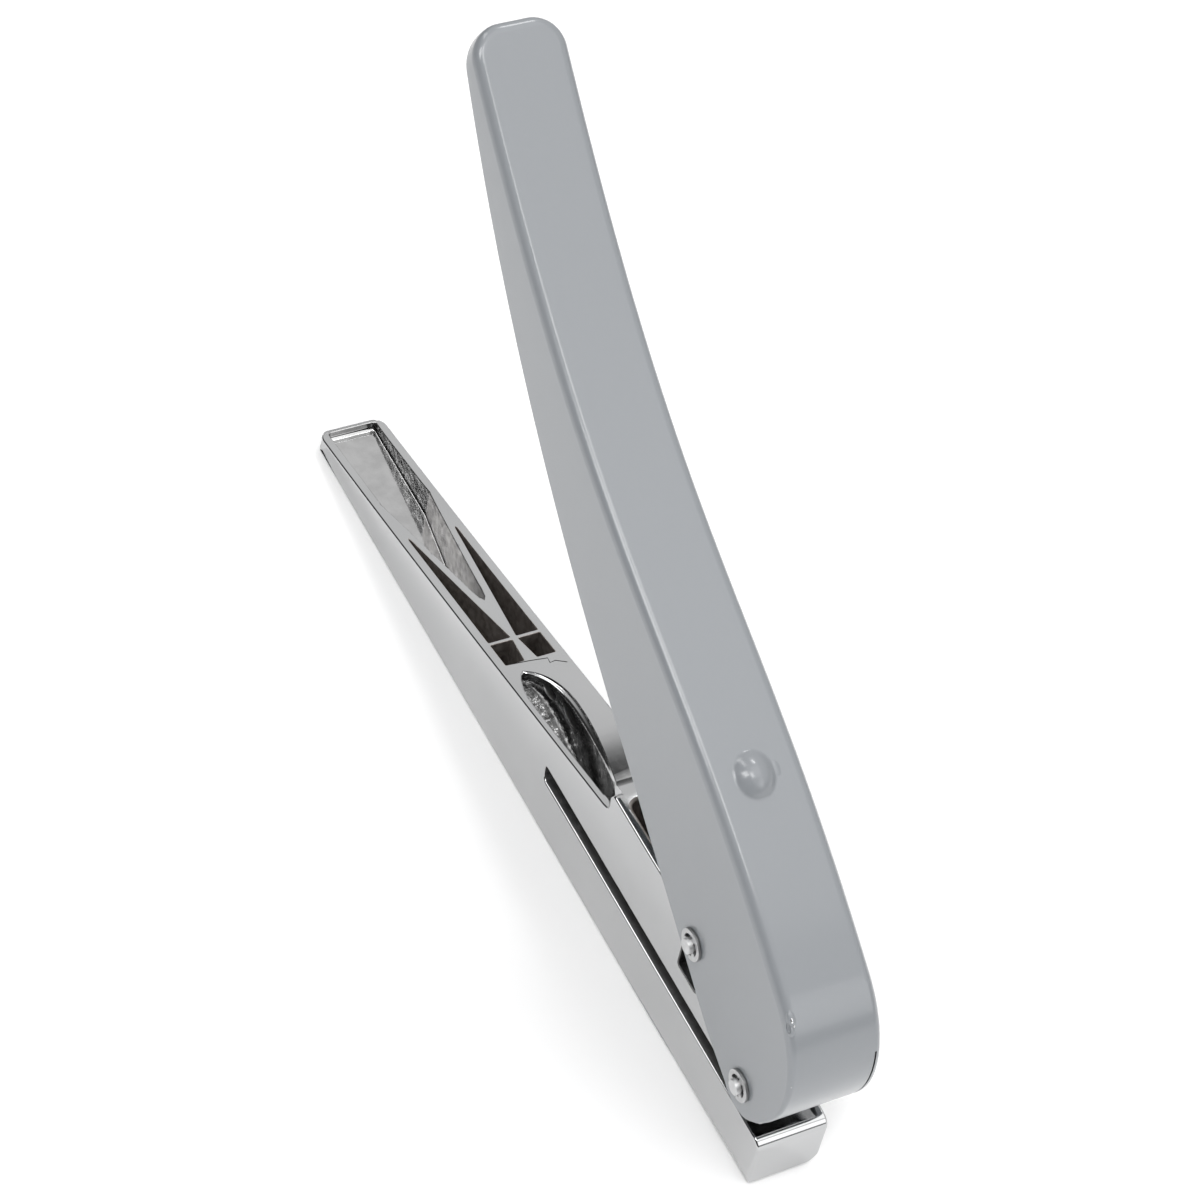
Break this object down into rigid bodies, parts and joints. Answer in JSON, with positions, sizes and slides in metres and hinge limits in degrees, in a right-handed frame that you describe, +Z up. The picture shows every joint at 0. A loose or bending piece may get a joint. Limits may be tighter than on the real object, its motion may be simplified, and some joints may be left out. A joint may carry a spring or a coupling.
{
  "type": "single hole punch",
  "caption": "Long-reach single hole punch: a slim chromed base with a sheet slot and a grey sprung lever that drives a round punch into a die.",
  "frame": {"origin": "on the flat underside, straight below the lever's pivot axis and midway across the base", "axes": "+X forward to the nose, where the sheet goes in; +Y across, away from the side that the picture shows; +Z up"},
  "size_m": [0.1905, 0.0208, 0.1365],
  "materials": {
    "chrome_casting": "bright chrome plate on a die casting",
    "lever_paint": "glossy grey enamel on pressed steel",
    "pin_steel": "turned bright steel",
    "ring_steel": "spring steel, stamped",
    "washer_steel": "plain steel",
    "tool_steel": "ground hardened steel",
    "spring_wire": "drawn spring wire"
  },
  "bodies": {
    "base": {"base_casting": "chrome_casting", "die_bush": "tool_steel", "guide_bush": "tool_steel", "return_spring": "spring_wire"},
    "lever": {"lever": "lever_paint", "pivot_pin": "pin_steel", "pivot_ring_near": "ring_steel", "pivot_ring_far": "ring_steel", "pivot_washer_near": "washer_steel", "pivot_washer_far": "washer_steel", "drive_pin": "pin_steel", "drive_ring_near": "ring_steel", "drive_ring_far": "ring_steel"},
    "punch": {"punch": "tool_steel"}
  },
  "joints": [
    {"name": "lever_hinge", "type": "hinge", "parent": "base", "child": "lever", "pos_m": [0, 0, 0.0221], "axis": [0, -1, 0], "range_deg": [0, 22], "stiffness_Nm_per_rad": 1.2, "springref_deg": -11.46, "deforming": ["return_spring"]},
    {"name": "punch_slide", "type": "slide", "parent": "base", "child": "punch", "axis": [0, 0, -1], "range_m": [0, 0.0091], "stiffness_N_per_m": 1, "springref_m": -0.0534}
  ],
  "couplings": [
    {"joint": "punch_slide", "follows": "lever_hinge", "m_per_rad": 0.023455}
  ]
}
